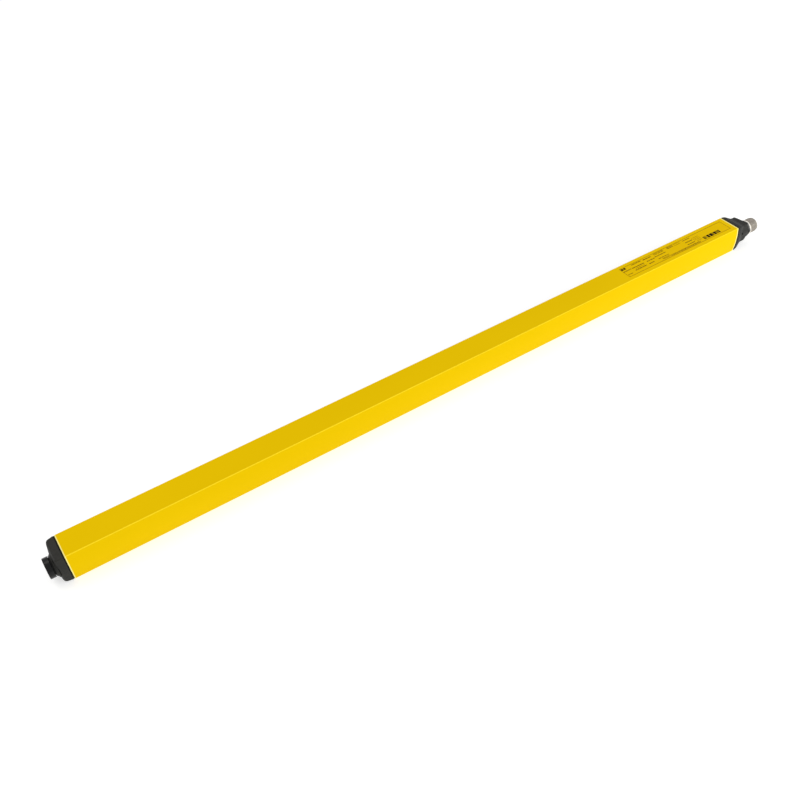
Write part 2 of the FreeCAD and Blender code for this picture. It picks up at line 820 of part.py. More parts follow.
def connector_harness():
    """The sleeved wiring from the header to the connector insert."""
    body = new_body("connector_harness")
    start, end = dim("control_end"), LENGTH + dim("tail_end") + 2.0
    sketch = cross_sketch(body, start)
    circle(sketch, AXIS, 0.0, dim("harness_radius"))
    pad(body, sketch, end - start)


def earth_spring():
    """The bent strip that earths the control board to the rear wall."""
    body = new_body("earth_spring")
    sketch = new_sketch(body, "XY_Plane")
    start = dim("control_start") + 12.0
    rear, top = -0.15, dim("rail_top")
    thick = 0.4
    polygon(sketch, [(start, top), (start, top - thick), (start + 3.6, top - thick),
                     (start + 7.0, rear), (start + 11.0, rear), (start + 11.0, rear + thick),
                     (start + 7.3, rear + thick), (start + 4.0, top)])
    pad(body, sketch, 5.0, both=True)


def status_board():
    """The small board that carries the status display in the guide ribs."""
    body = new_body("status_board")
    rear = dim("guide_depth")
    block(body, (dim("display_start"), dim("display_end")), (rear, rear + dim("board_height")),
          (-dim("wing_half"), dim("wing_half")))


def status_display():
    """The light guide block behind the window, with its digit face and three lamp wells."""
    body = new_body("status_display")
    rear = dim("guide_depth") + dim("board_height")
    start, end = dim("display_start") + 2.0, dim("display_end") - 2.0
    front, half = dim("display_front"), dim("display_half")
    block(body, (start, end), (rear, front), (-half, half))
    digit = cross_sketch(body, start + 2.5)
    rectangle(digit, front - dim("digit_depth"), 0.5 - dim("digit_width"), front + 1.0, 0.5)
    pocket(body, digit, dim("digit_length"), True)
    well = new_sketch(body, "XZ_Plane", -front)
    circle(well, start + 4.0, 5.5, dim("lamp_radius"))
    lamp = pocket(body, well, dim("lamp_depth"), True, True)
    repeat_along(body, lamp, dim("lamp_pitch"), LAMPS)


# ---------------------------------------------------------------- optics

def lens_strip(number, along):
    """A moulded strip with one domed lens for each beam."""
    body = new_body("lens_strip_%d" % number, along)
    front = dim("carrier_front")
    half = dim("optics_half")
    block(body, (as_size(0.0), dim("module_length") - dim("module_gap")),
          (front, front + dim("lens_plate")), (-half, half))
    radius, rise = dim("lens_radius"), dim("lens_rise")
    ball = (radius * radius + rise * rise) / (2 * rise)
    base, middle = front + dim("lens_plate"), dim("beam_pitch") / 2
    dome = new_sketch(body, "XY_Plane")
    lens_outline(dome, middle, base, radius, rise, ball)
    lens = turn(body, "Revolution", dome, "Axis0")
    repeat_along(body, lens, dim("beam_pitch"), BEAMS)


def lens_outline(sketch, middle, base, radius, rise, ball):
    """Half of a lens dome: its base, its ball arc and its axis."""
    foot = FreeCAD.Vector(middle.value, base.value - 0.3, 0)
    rim = FreeCAD.Vector(middle.value + radius.value, base.value - 0.3, 0)
    edge = FreeCAD.Vector(middle.value + radius.value, base.value, 0)
    top = FreeCAD.Vector(middle.value, (base + rise).value, 0)
    centre = FreeCAD.Vector(middle.value, (base + rise - ball).value, 0)
    tilt = math.asin(radius.value / ball.value)
    floor = sketch.addGeometry(Part.LineSegment(foot, rim), False)
    wall = sketch.addGeometry(Part.LineSegment(rim, edge), False)
    round_edge = Part.Circle(centre, FreeCAD.Vector(0, 0, 1), ball.value)
    arc = sketch.addGeometry(
        Part.ArcOfCircle(round_edge, math.pi / 2 - tilt, math.pi / 2), False)
    axis = sketch.addGeometry(Part.LineSegment(top, foot), False)
    line = sketch.addGeometry(Part.LineSegment(foot, top), True)
    for first, point, second, other in ((floor, 2, wall, 1), (wall, 2, arc, 1),
                                        (arc, 2, axis, 1), (axis, 2, floor, 1),
                                        (line, 1, floor, 1), (line, 2, axis, 1)):
        sketch.addConstraint(Sketcher.Constraint("Coincident", first, point, second, other))
    floor_depth = base - 0.3
    bind(sketch, Sketcher.Constraint("DistanceX", -1, 1, floor, 1, middle.value), middle)
    bind(sketch, Sketcher.Constraint("DistanceY", -1, 1, floor, 1, floor_depth.value), floor_depth)
    bind(sketch, Sketcher.Constraint("DistanceX", floor, 1, floor, 2, radius.value), radius)
    sketch.addConstraint(Sketcher.Constraint("Horizontal", floor))
    sketch.addConstraint(Sketcher.Constraint("Vertical", wall))
    sketch.addConstraint(Sketcher.Constraint("Vertical", axis))
    bind(sketch, Sketcher.Constraint("DistanceY", -1, 1, wall, 2, base.value), base)
    bind(sketch, Sketcher.Constraint("Radius", arc, ball.value), ball)
    sketch.addConstraint(Sketcher.Constraint("PointOnObject", arc, 3, axis))


def optics_carrier(number, along):
    """The black moulding between lenses and board: one tunnel per beam and two guide wings."""
    body = new_body("optics_carrier_%d" % number, along)
    rear = dim("board_rear") + dim("board_height")
    length = dim("module_length") - dim("module_gap")
    half, wing = dim("optics_half"), dim("wing_half")
    block(body, (as_size(0.0), length), (rear, dim("carrier_front")), (-half, half))
    guide = dim("guide_depth")
    block(body, (as_size(0.0), length), (guide, guide + dim("board_height")), (-wing, wing))
    tunnel = new_sketch(body, "XZ_Plane", -rear)
    size = dim("aperture") / 2
    middle = dim("beam_pitch") / 2
    rectangle(tunnel, middle - size, -size, middle + size, size)
    opening = pocket(body, tunnel, dim("carrier_front"), False)
    repeat_along(body, opening, dim("beam_pitch"), BEAMS)


def optics_board(number, along):
    """The circuit board behind a carrier."""
    body = new_body("optics_board_%d" % number, along)
    rear = dim("board_rear")
    half = dim("optics_half")
    block(body, (as_size(0.0), dim("module_length") - dim("module_gap")),
          (rear, rear + dim("board_height")), (-half, half))


def optic_elements(number, along):
    """The emitter or receiver package of each beam."""
    body = new_body("optic_elements_%d" % number, along)
    front = dim("board_rear") + dim("board_height")
    middle, half = dim("beam_pitch") / 2, dim("element_size") / 2
    package = block(body, (middle - half, middle + half),
                    (front, front + dim("element_height")), (-half, half))
    repeat_along(body, package, dim("beam_pitch"), BEAMS)


def module_links():
    """The plug strips that join neighbouring optics boards."""
    body = new_body("module_links", dim("module_start"))
    joint = dim("module_length")
    rear = dim("board_rear")
    length, half = dim("link_length") / 2, dim("link_width") / 2
    link = block(body, (joint - length, joint + length), (rear - dim("link_height"), rear),
                 (-half, half))
    repeat_along(body, link, dim("module_length"), MODULES - 1)


# ---------------------------------------------------------------- the whole object

def check_and_export():
    """Checks every object and writes one STEP file for each part."""
    doc.recompute()
    for item in doc.Objects:
        if "Invalid" in item.State or "Error" in item.State:
            raise RuntimeError("%s failed: %s" % (item.Name, item.State))
    os.makedirs("parts", exist_ok=True)
    for part in parts:
        shape = part.Shape
        if shape.isNull() or not shape.isValid() or shape.Volume <= 0:
            raise RuntimeError("%s has no valid shape" % part.Label)
        shape.exportStep("parts/%s.step" % part.Label)
        print("%-22s %2d solids %10.1f mm3" % (part.Label, len(shape.Solids), shape.Volume))


housing_profile()
front_window()
window_tape()
cap_gasket("cap_gasket_plain", "plain")
cap_gasket("cap_gasket_connector", "connector")
end_cap_plain()
end_cap_connector()
cap_screws("cap_screws_plain", "plain")
cap_screws("cap_screws_connector", "connector")
extension_socket()
extension_contacts()
blanking_plug()
blanking_plug_seal()
connector_shell()
connector_insert()
connector_pins()
connector_washer()
connector_nut()
control_board()
control_chips()
board_header()
connector_harness()
earth_spring()
status_board()
status_display()
for module in range(MODULES):
    offset = dim("module_start") + dim("module_length") * module
    lens_strip(module + 1, offset)
    optics_carrier(module + 1, offset)
    optics_board(module + 1, offset)
    optic_elements(module + 1, offset)
module_links()
check_and_export()
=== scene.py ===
"""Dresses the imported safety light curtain: paint, moulded caps, threaded connector, rating film,
floor, soft studio light and camera. The frame is in metres, with the bar along X, its crowned
face towards -Y and its label side up."""
import json
import math
import random

import bmesh
import bpy
from mathutils import Matrix, Vector


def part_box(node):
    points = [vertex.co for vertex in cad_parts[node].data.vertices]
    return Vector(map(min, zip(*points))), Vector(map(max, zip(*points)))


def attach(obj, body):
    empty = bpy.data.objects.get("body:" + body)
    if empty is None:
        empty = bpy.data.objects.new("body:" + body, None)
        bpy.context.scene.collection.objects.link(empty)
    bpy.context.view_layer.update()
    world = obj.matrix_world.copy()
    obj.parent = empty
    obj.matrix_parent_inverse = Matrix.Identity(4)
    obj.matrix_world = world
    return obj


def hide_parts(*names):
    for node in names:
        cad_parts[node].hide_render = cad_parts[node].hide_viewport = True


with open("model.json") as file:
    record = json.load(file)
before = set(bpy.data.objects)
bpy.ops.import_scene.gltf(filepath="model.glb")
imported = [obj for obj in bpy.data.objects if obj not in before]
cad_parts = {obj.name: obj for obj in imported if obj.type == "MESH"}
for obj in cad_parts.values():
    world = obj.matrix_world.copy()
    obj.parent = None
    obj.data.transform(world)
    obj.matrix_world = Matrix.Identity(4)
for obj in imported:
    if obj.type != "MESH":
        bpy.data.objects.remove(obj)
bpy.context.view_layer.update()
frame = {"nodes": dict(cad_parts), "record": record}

MM = 0.001
HOUSING_LOW, HOUSING_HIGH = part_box("housing_profile")
SHELL_LOW, SHELL_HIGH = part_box("connector_shell")
THREAD_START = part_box("connector_washer")[1][0]
INSERT_KEY = 7.0 * MM
MOUTH_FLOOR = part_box("connector_insert")[1][0] - INSERT_KEY
RECORD_SLOTS = {part["node"]: part["material_slot"] for part in frame["record"]["subparts"]}


# ---------------------------------------------------------------- materials

NOISE_LOW, NOISE_HIGH = 0.3, 0.7
ACRYLIC_IOR = 1.49


class Surface:
    """A procedural material: a Principled shader driven by patterns in object space."""

    def __init__(self, name):
        self.material = bpy.data.materials.new(name)
        self.material.use_nodes = True
        self.tree = self.material.node_tree
        self.shader = self.tree.nodes["Principled BSDF"]
        self.place = self.add("ShaderNodeTexCoord").outputs["Object"]

    def add(self, kind, **settings):
        """A new node with its properties set."""
        node = self.tree.nodes.new(kind)
        for key, value in settings.items():
            setattr(node, key, value)
        return node

    def link(self, source, target):
        """A link from an output to an input."""
        self.tree.links.new(source, target)

    def drive(self, socket_name, source):
        """An output that drives one socket of the shader."""
        self.link(source, self.shader.inputs[socket_name])

    def fix(self, socket_name, value):
        """A constant on one socket of the shader."""
        self.shader.inputs[socket_name].default_value = value

    def noise(self, scale, detail=2.0, stretch=(1.0, 1.0, 1.0)):
        """Cloudy noise from 0 to 1, scale in features per metre."""
        mapping = self.add("ShaderNodeMapping")
        mapping.inputs["Scale"].default_value = stretch
        self.link(self.place, mapping.inputs["Vector"])
        noise = self.add("ShaderNodeTexNoise")
        noise.inputs["Scale"].default_value = scale
        noise.inputs["Detail"].default_value = detail
        self.link(mapping.outputs["Vector"], noise.inputs["Vector"])
        return noise.outputs["Fac"]

    def blend(self, factor, first, second):
        """A colour between two colours, which are given as values or as outputs."""
        mix = self.add("ShaderNodeMix", data_type="RGBA")
        self.link(factor, mix.inputs["Factor"])
        colour_inputs = [socket for socket in mix.inputs if socket.type == "RGBA"]
        for socket, colour in zip(colour_inputs, (first, second)):
            if isinstance(colour, bpy.types.NodeSocket):
                self.link(colour, socket)
            else:
                socket.default_value = (*colour, 1.0)
        return [socket for socket in mix.outputs if socket.type == "RGBA"][0]

    def spread(self, value, low, high, low_to=0.0, high_to=1.0):
        """A value's range from low to high, taken to another range."""
        node = self.add("ShaderNodeMapRange")
        self.link(value, node.inputs["Value"])
        for key, number in (("From Min", low), ("From Max", high),
                            ("To Min", low_to), ("To Max", high_to)):
            node.inputs[key].default_value = number
        return node.outputs["Result"]

    def patches(self, noise, low_to=0.0, high_to=1.0):
        """The middle of a noise's range, taken to another range."""
        return self.spread(noise, NOISE_LOW, NOISE_HIGH, low_to, high_to)

    def math(self, operation, first, second=0.0):
        """A Math node on outputs or numbers."""
        node = self.add("ShaderNodeMath", operation=operation)
        for socket, value in zip(node.inputs, (first, second)):
            if isinstance(value, bpy.types.NodeSocket):
                self.link(value, socket)
            else:
                socket.default_value = value
        return node.outputs[0]

    def axis(self, letter):
        """One coordinate of the row frame, in metres."""
        split = self.add("ShaderNodeSeparateXYZ")
        self.link(self.place, split.inputs[0])
        return split.outputs[letter]

    def distance(self, letter, middle):
        """How far a point lies from a middle along one axis."""
        return self.math("ABSOLUTE", self.math("SUBTRACT", self.axis(letter), middle))

    def bump(self, height, distance):
        """A relief in the shading, with the height of its full range in metres."""
        node = self.add("ShaderNodeBump")
        node.inputs["Distance"].default_value = distance
        node.inputs["Strength"].default_value = 1.0
        self.link(height, node.inputs["Height"])
        self.drive("Normal", node.outputs["Normal"])
        return node

    def soften(self, bump, radius):
        """Rounds hard edges in the shading by a small radius."""
        bevel = self.add("ShaderNodeBevel", samples=4)
        bevel.inputs["Radius"].default_value = radius
        self.link(bevel.outputs["Normal"], bump.inputs["Normal"])


def plain_surface(name, colour, roughness, metallic=0.0, specular=0.5, tint=0.12, cloud=60.0,
                  grain=2500.0, relief=0.02 * MM, rounding=0.0):
    """A surface with a cloudy tone, uneven gloss and a fine grain."""
    surface = Surface(name)
    dark = tuple(channel * (1.0 - tint) for channel in colour)
    light = tuple(min(1.0, channel * (1.0 + tint)) for channel in colour)
    cloudy = surface.noise(cloud, 3.0)
    surface.drive("Base Color", surface.blend(surface.patches(cloudy), dark, light))
    uneven = surface.noise(cloud * 2.7)
    surface.drive("Roughness",
                  surface.patches(uneven, roughness * 0.9, min(1.0, roughness * 1.1)))
    surface.fix("Metallic", metallic)
    surface.fix("Specular IOR Level", specular)
    bump = surface.bump(surface.noise(grain), relief)
    if rounding:
        surface.soften(bump, rounding)
    return surface.material


YELLOW = (0.845, 0.560, 0.0006)
YELLOW_DEEP = (0.815, 0.535, 0.0004)
# Pale band at both sawn ends: partly the bare cut edge, partly a painted highlight, made wider at
# the connector end.
YELLOW_CUT_EDGE_AND_HIGHLIGHT = (1.0, 0.88, 0.30)
# Painted highlight: a thin pale line along the two rear creases.
YELLOW_CREASE_HIGHLIGHT = (1.0, 0.73, 0.02)
CUT_HIGHLIGHT_BAND_PLAIN = 1.3 * MM
CUT_HIGHLIGHT_BAND_CONNECTOR = 2.3 * MM
CUT_HIGHLIGHT_FADE = 0.2 * MM
CREASE_HIGHLIGHT_BAND = 0.9 * MM
CREASE_HIGHLIGHT_FADE = 0.3 * MM
CROWN_RISE = 2.2 * MM


def painted_housing():
    """Matt powder coat with a fine orange peel, a painted highlight along the rear creases, and a
    pale band at the sawn ends that is partly the bare cut edge and partly a painted highlight.
    """
    surface = Surface("housing_yellow")
    cloudy = surface.noise(7.0, 3.0, (0.35, 1.0, 1.0))
    paint = surface.blend(surface.spread(cloudy, 0.35, 0.65), YELLOW_DEEP, YELLOW)
    paint_from = HOUSING_LOW[0] + CUT_HIGHLIGHT_BAND_PLAIN
    paint_to = HOUSING_HIGH[0] - CUT_HIGHLIGHT_BAND_CONNECTOR
    half = (paint_to - paint_from) / 2
    # Mask of the pale sawn-end band, which is partly bare cut edge and partly painted highlight.
    cut_edge_highlight = surface.spread(surface.distance("X", (paint_from + paint_to) / 2),
                         half - CUT_HIGHLIGHT_FADE, half)
    reach = (HOUSING_HIGH[2] - HOUSING_LOW[2]) / 2
    # Mask of the painted highlight along the rear creases.
    near_side = surface.spread(surface.distance("Z", (HOUSING_LOW[2] + HOUSING_HIGH[2]) / 2),
                               reach - CREASE_HIGHLIGHT_BAND, reach - CREASE_HIGHLIGHT_BAND + CREASE_HIGHLIGHT_FADE)
    crease_y = HOUSING_LOW[1] + CROWN_RISE
    near_rear = surface.spread(surface.axis("Y"), crease_y + CREASE_HIGHLIGHT_BAND,
                               crease_y + CREASE_HIGHLIGHT_BAND - CREASE_HIGHLIGHT_FADE)
    crease_highlight = surface.math("MULTIPLY", near_side, near_rear)
    # The paint with the painted crease highlight laid on.
    with_crease_highlight = surface.blend(crease_highlight, paint, YELLOW_CREASE_HIGHLIGHT)
    # Lays the sawn-end band, partly painted highlight, over the paint.
    surface.drive("Base Color", surface.blend(cut_edge_highlight, with_crease_highlight, YELLOW_CUT_EDGE_AND_HIGHLIGHT))
    surface.drive("Roughness", surface.patches(surface.noise(90.0), 0.40, 0.46))
    surface.fix("Specular IOR Level", 0.01)
    bump = surface.bump(surface.noise(1400.0, 1.0), 0.015 * MM)
    surface.soften(bump, 0.5 * MM)
    return surface.material


def moulded_cap():
    """Black glass-filled plastic with a fine spark-eroded texture."""
    surface = Surface("cap_black")
    cloudy = surface.noise(45.0, 3.0)
    surface.drive("Base Color", surface.blend(surface.patches(cloudy), (0.013, 0.013, 0.0115),
                                              (0.021, 0.020, 0.0165)))
    surface.drive("Roughness", surface.patches(surface.noise(300.0), 0.52, 0.62))
    surface.fix("Specular IOR Level", 0.24)
    bump = surface.bump(surface.noise(3000.0), 0.03 * MM)
    surface.soften(bump, 1.2 * MM)
    return surface.material


def tinted_window():
    """The dark red-black acrylic front, glossy, with faint drawing lines along it."""
    surface = Surface("window_dark")
    streaks = surface.noise(60.0, 2.0, (0.03, 1.0, 1.0))
    surface.drive("Base Color", surface.blend(surface.patches(streaks), (0.010, 0.0025, 0.003),
                                              (0.018, 0.004, 0.005)))
    surface.drive("Roughness", surface.patches(surface.noise(25.0), 0.06, 0.10))
    surface.fix("Specular IOR Level", 0.28)
    surface.bump(surface.noise(40.0, 1.0, (0.1, 1.0, 1.0)), 0.02 * MM)
    return surface.material


def clear_lens():
    """Clear moulded acrylic."""
    surface = Surface("lens_clear")
    surface.drive("Base Color", surface.blend(surface.noise(80.0), (0.86, 0.88, 0.90),
                                              (0.93, 0.94, 0.95)))
    surface.drive("Roughness", surface.patches(surface.noise(120.0), 0.05, 0.10))
    surface.fix("Transmission Weight", 0.9)
    surface.fix("IOR", ACRYLIC_IOR)
    return surface.material


def board_surface():
    """Green solder mask with paler copper tracks under it."""
    surface = Surface("board_green")
    tracks = surface.add("ShaderNodeTexBrick")
    for key, value in (("Scale", 260.0), ("Mortar Size", 0.03),
                       ("Color1", (0.010, 0.095, 0.035, 1)), ("Color2", (0.012, 0.115, 0.045, 1)),
                       ("Mortar", (0.03, 0.17, 0.07, 1))):
        tracks.inputs[key].default_value = value
    surface.link(surface.place, tracks.inputs["Vector"])
    surface.drive("Base Color", tracks.outputs["Color"])
    surface.drive("Roughness", surface.patches(surface.noise(200.0), 0.3, 0.4))
    return surface.material


# Plain finishes of the record's slots: colour, roughness and what else differs.
PLAIN_FINISHES = {
    "tape_black": ((0.012, 0.012, 0.012), 0.8, {}),
    "gasket_black": ((0.006, 0.006, 0.006), 0.85, {"specular": 0.2}),
    "screw_steel": ((0.55, 0.54, 0.52), 0.32, {"metallic": 1.0, "cloud": 300.0}),
    "socket_black": ((0.015, 0.015, 0.016), 0.5, {}),
    "contact_gold": ((0.9, 0.63, 0.22), 0.22, {"metallic": 1.0}),
    "plug_black": ((0.0035, 0.0035, 0.004), 0.20,
                   {"rounding": 0.5 * MM, "specular": 0.24, "grain": 900.0,
                    "relief": 0.01 * MM}),
    # Painted shade: the seal ring is near black so that it stands for the deep shadow in the gaps
    # between plug and cap boss.
    "seal_grey": ((0.006, 0.006, 0.006), 0.7, {"specular": 0.2}),
    "connector_metal": ((0.40, 0.365, 0.325), 0.55,
                        {"metallic": 1.0, "cloud": 200.0, "tint": 0.08}),
    "insert_black": ((0.012, 0.012, 0.012), 0.5, {}),
    "washer_light": ((0.86, 0.81, 0.74), 0.6, {"tint": 0.04}),
    "nut_black": ((0.016, 0.016, 0.014), 0.5, {"rounding": 0.6 * MM}),
    "chip_black": ((0.010, 0.010, 0.011), 0.55, {}),
    "header_white": ((0.72, 0.70, 0.64), 0.5, {"tint": 0.05}),
    "harness_grey": ((0.10, 0.10, 0.10), 0.6, {"grain": 1200.0, "relief": 0.1 * MM}),
    "spring_steel": ((0.62, 0.61, 0.60), 0.25, {"metallic": 1.0}),
    "display_smoke": ((0.02, 0.02, 0.022), 0.15, {}),
    "carrier_black": ((0.008, 0.008, 0.008), 0.7, {}),
    "element_clear": ((0.03, 0.015, 0.03), 0.12, {}),
}
MATERIALS = {
    "housing_yellow": painted_housing(),
    "window_dark": tinted_window(),
    "cap_black": moulded_cap(),
    "board_green": board_surface(),
    "lens_clear": clear_lens(),
}
for slot_name, (slot_colour, slot_roughness, differing) in PLAIN_FINISHES.items():
    MATERIALS[slot_name] = plain_surface(slot_name, slot_colour, slot_roughness, **differing)
for node_name, node_object in frame["nodes"].items():
    for material_slot in node_object.material_slots:
        material_slot.material = MATERIALS[RECORD_SLOTS[node_name]]


# ---------------------------------------------------------------- pieces

def piece(name, mesh, slot, material=None):
    """A new object that rides on the body and takes its finish from a record slot."""
    made = bpy.data.objects.new(name, mesh)
    bpy.context.scene.collection.objects.link(made)
    mesh.materials.append(material or MATERIALS[slot])
    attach(made, "root")
    return made


def as_mesh(name, shape):
    """A mesh from a bmesh, with its faces turned outwards."""
    bmesh.ops.recalc_face_normals(shape, faces=shape.faces)
    mesh = bpy.data.meshes.new(name)
    shape.to_mesh(mesh)
    shape.free()
    return mesh


AXIS_Y = (SHELL_LOW[1] + SHELL_HIGH[1]) / 2
AXIS_Z = (SHELL_LOW[2] + SHELL_HIGH[2]) / 2
THREAD_RADIUS = (SHELL_HIGH[2] - SHELL_LOW[2]) / 2
THREAD_PITCH = 1.9 * MM
THREAD_DEPTH = 0.75 * MM
THREAD_ROOT = THREAD_RADIUS - THREAD_DEPTH
THREAD_SIDES = 96
STEPS_PER_PITCH = 8
FLANK_STEEPNESS = 1.6
ROOT_FLAT = 0.3
UNDERCUT = 0.9 * MM
LEAD_IN = 1.1 * MM
CHAMFER_LENGTH = 0.3 * MM
CHAMFER_DEPTH = 1.0 * MM
RIM_CHAMFER = 0.4 * MM
SHELL_BORE = 9.2 * MM
MOUTH_RADIUS = 10.4 * MM
TAIL_BORE = 7.6 * MM
SMOOTH_UP_TO = math.radians(40)


def thread_wave(turns):
    """The height of a rounded trapezoid thread, 0 at the root and 1 at the crest."""
    phase = turns % 1.0
    slope = 1.0 - abs(2.0 * phase - 1.0)
    return max(0.0, min(1.0, FLANK_STEEPNESS * slope - ROOT_FLAT))


def shell_stations():
    """The shell's closed section: place along X, radius, and how much of the thread stands."""
    start, end = THREAD_START, SHELL_HIGH[0]
    tail = SHELL_LOW[0]
    plain_start, plain_end = start + UNDERCUT, end - LEAD_IN
    steps = int((plain_end - plain_start) / THREAD_PITCH * STEPS_PER_PITCH)
    stations = [(tail, TAIL_BORE, 0.0), (tail, SHELL_BORE, 0.0), (start, SHELL_BORE, 0.0),
                (start, THREAD_ROOT, 0.0), (plain_start, THREAD_ROOT, 0.0)]
    for step in range(1, steps):
        along = plain_start + (plain_end - plain_start) * step / steps
        from_ends = min(along - plain_start, plain_end - along)
        stations.append((along, THREAD_ROOT, min(1.0, from_ends / THREAD_PITCH)))
    stations += [(plain_end, THREAD_ROOT, 0.0), (end - CHAMFER_LENGTH, THREAD_ROOT, 0.0),
                 (end, THREAD_RADIUS - CHAMFER_DEPTH, 0.0),
                 (end, MOUTH_RADIUS + RIM_CHAMFER, 0.0), (end - RIM_CHAMFER, MOUTH_RADIUS, 0.0),
                 (MOUTH_FLOOR, MOUTH_RADIUS, 0.0), (MOUTH_FLOOR, TAIL_BORE, 0.0)]
    return stations


def threaded_shell():
    """The connector shell with its real thread cut, turned about the connector axis."""
    shape = bmesh.new()
    rings = []
    for along, radius, thread_share in shell_stations():
        ring = []
        for side in range(THREAD_SIDES):
            turn = side / THREAD_SIDES
            wave = thread_wave(along / THREAD_PITCH - turn)
            reach = radius + thread_share * THREAD_DEPTH * wave
            angle = math.tau * turn
            ring.append(shape.verts.new((along, AXIS_Y + reach * math.cos(angle),
                                         AXIS_Z + reach * math.sin(angle))))
        rings.append(ring)
    for first, second in zip(rings, rings[1:] + rings[:1]):
        for side in range(THREAD_SIDES):
            following = (side + 1) % THREAD_SIDES
            shape.faces.new((first[side], second[side], second[following], first[following]))
    mesh = as_mesh("connector_thread", shape)
    mesh.shade_smooth()
    mesh.set_sharp_from_angle(angle=SMOOTH_UP_TO)
    return mesh


thread = piece("connector_thread", threaded_shell(), "connector_metal")
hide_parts("connector_shell")


# ---------------------------------------------------------------- rating film

LABEL_START = HOUSING_HIGH[0] - 258.0 * MM
LABEL_END = HOUSING_HIGH[0] - 10.5 * MM
LABEL_REAR = HOUSING_LOW[1] + CROWN_RISE + 7.6 * MM
LABEL_FRONT = LABEL_REAR + 27.6 * MM
LABEL_CORNER = 1.5 * MM
CORNER_STEPS = 5
SINK = 0.01 * MM
FILM_LOW = HOUSING_HIGH[2] - SINK
FILM_HIGH = HOUSING_HIGH[2] + 0.08 * MM
PRINT_LOW = FILM_HIGH - SINK
PRINT_HIGH = FILM_HIGH + 0.03 * MM
BORDER_INSET = 0.7 * MM
BORDER_WIDTH = 0.7 * MM
BORDER_CORNER_LEAST = 0.3 * MM
DASH_LENGTHS = (2.2, 6.4)
DASH_GAPS = (0.5, 1.1)


def rounded_outline(x_low, y_low, x_high, y_high, corner):
    """Points of a rectangle with round corners, anticlockwise."""
    points = []
    centres = ((x_high - corner, y_high - corner, 0), (x_low + corner, y_high - corner, 90),
               (x_low + corner, y_low + corner, 180), (x_high - corner, y_low + corner, 270))
    for x, y, start in centres:
        for step in range(CORNER_STEPS + 1):
            angle = math.radians(start + 90 * step / CORNER_STEPS)
            points.append((x + corner * math.cos(angle), y + corner * math.sin(angle)))
    return points


def film_outline(inset, corner):
    """The film's outline, moved inwards."""
    return rounded_outline(LABEL_START + inset, LABEL_REAR + inset, LABEL_END - inset,
                           LABEL_FRONT - inset, corner)


def ring_of(shape, outline, height):
    """The vertices of an outline at one height."""
    return [shape.verts.new((x, y, height)) for x, y in outline]


def slab(shape, outline, low, high):
    """A thin plate over an outline."""
    bottom = ring_of(shape, outline, low)
    top = ring_of(shape, outline, high)
    shape.faces.new(top)
    shape.faces.new(list(reversed(bottom)))
    for index in range(len(outline)):
        following = (index + 1) % len(outline)
        shape.faces.new((bottom[index], bottom[following], top[following], top[index]))


def label_film():
    """The yellow film itself."""
    shape = bmesh.new()
    slab(shape, film_outline(0.0, LABEL_CORNER), FILM_LOW, FILM_HIGH)
    return as_mesh("rating_film", shape)


def bar(shape, along, across, length, width):
    """One printed bar: its start along the film, its middle across it, and its size, in mm."""
    x_low = LABEL_START + along * MM
    x_high = x_low + length * MM
    y_middle = LABEL_REAR + across * MM
    half = width * MM / 2
    outline = [(x_low, y_middle - half), (x_high, y_middle - half),
               (x_high, y_middle + half), (x_low, y_middle + half)]
    slab(shape, outline, PRINT_LOW, PRINT_HIGH)


def row_of_dashes(shape, chance, along, end, across, width):
    """A greeked line of print: dashes of uneven length with small gaps."""
    while along < end:
        length = chance.uniform(*DASH_LENGTHS)
        bar(shape, along, across, min(length, end - along), width)
        along += length + chance.uniform(*DASH_GAPS)


def border(shape):
    """A thin frame just inside the film's edge."""
    rings = []
    for inset in (BORDER_INSET, BORDER_INSET + BORDER_WIDTH):
        outline = film_outline(inset, max(LABEL_CORNER - inset, BORDER_CORNER_LEAST))
        rings.append((ring_of(shape, outline, PRINT_LOW), ring_of(shape, outline, PRINT_HIGH)))
    (outer_low, outer_high), (inner_low, inner_high) = rings
    loops = (outer_high, inner_high, inner_low, outer_low)
    for index in range(len(outer_low)):
        following = (index + 1) % len(outer_low)
        for first, second in ((0, 1), (3, 0), (1, 2), (2, 3)):
            one, other = loops[first], loops[second]
            shape.faces.new((one[index], one[following], other[following], other[index]))


# Greeked rows of the film: start and end along it, middle across it and height, in mm.
PRINT_ROWS = (
    (1.5, 19.0, 16.4, 1.8), (3.0, 13.0, 6.4, 1.6), (26.0, 48.0, 23.8, 2.0),
    (20.6, 48.0, 16.0, 2.1), (22.0, 48.0, 8.8, 2.1), (26.0, 46.0, 12.3, 0.9),
    (52.0, 71.0, 22.8, 2.3), (55.0, 73.0, 15.8, 1.9), (54.0, 66.0, 8.8, 2.2),
    (78.0, 101.0, 24.6, 1.3), (78.0, 101.0, 22.1, 1.3), (75.0, 101.0, 17.2, 1.8),
    (77.0, 101.0, 9.6, 1.6), (83.0, 101.0, 6.3, 1.2), (83.0, 101.0, 4.0, 1.2),
    (102.0, 174.0, 4.9, 1.4), (102.0, 174.0, 2.9, 1.0), (110.0, 124.0, 24.5, 1.7),
    (110.0, 124.0, 21.9, 1.7), (126.0, 142.0, 24.4, 0.8), (126.0, 142.0, 21.2, 0.8),
    (148.0, 165.0, 22.8, 1.6), (148.0, 165.0, 16.0, 2.0), (148.0, 165.0, 9.6, 1.8),
    (167.0, 182.0, 19.0, 0.8), (167.0, 182.0, 15.6, 0.8), (167.0, 182.0, 12.2, 0.8),
    (171.0, 182.0, 8.6, 0.8),
)
# Two solid blocks: start along the film, middle across it, length and height, in mm.
PRINT_BLOCKS = ((1.8, 22.9, 4.4, 4.6), (7.2, 22.9, 4.2, 4.6))
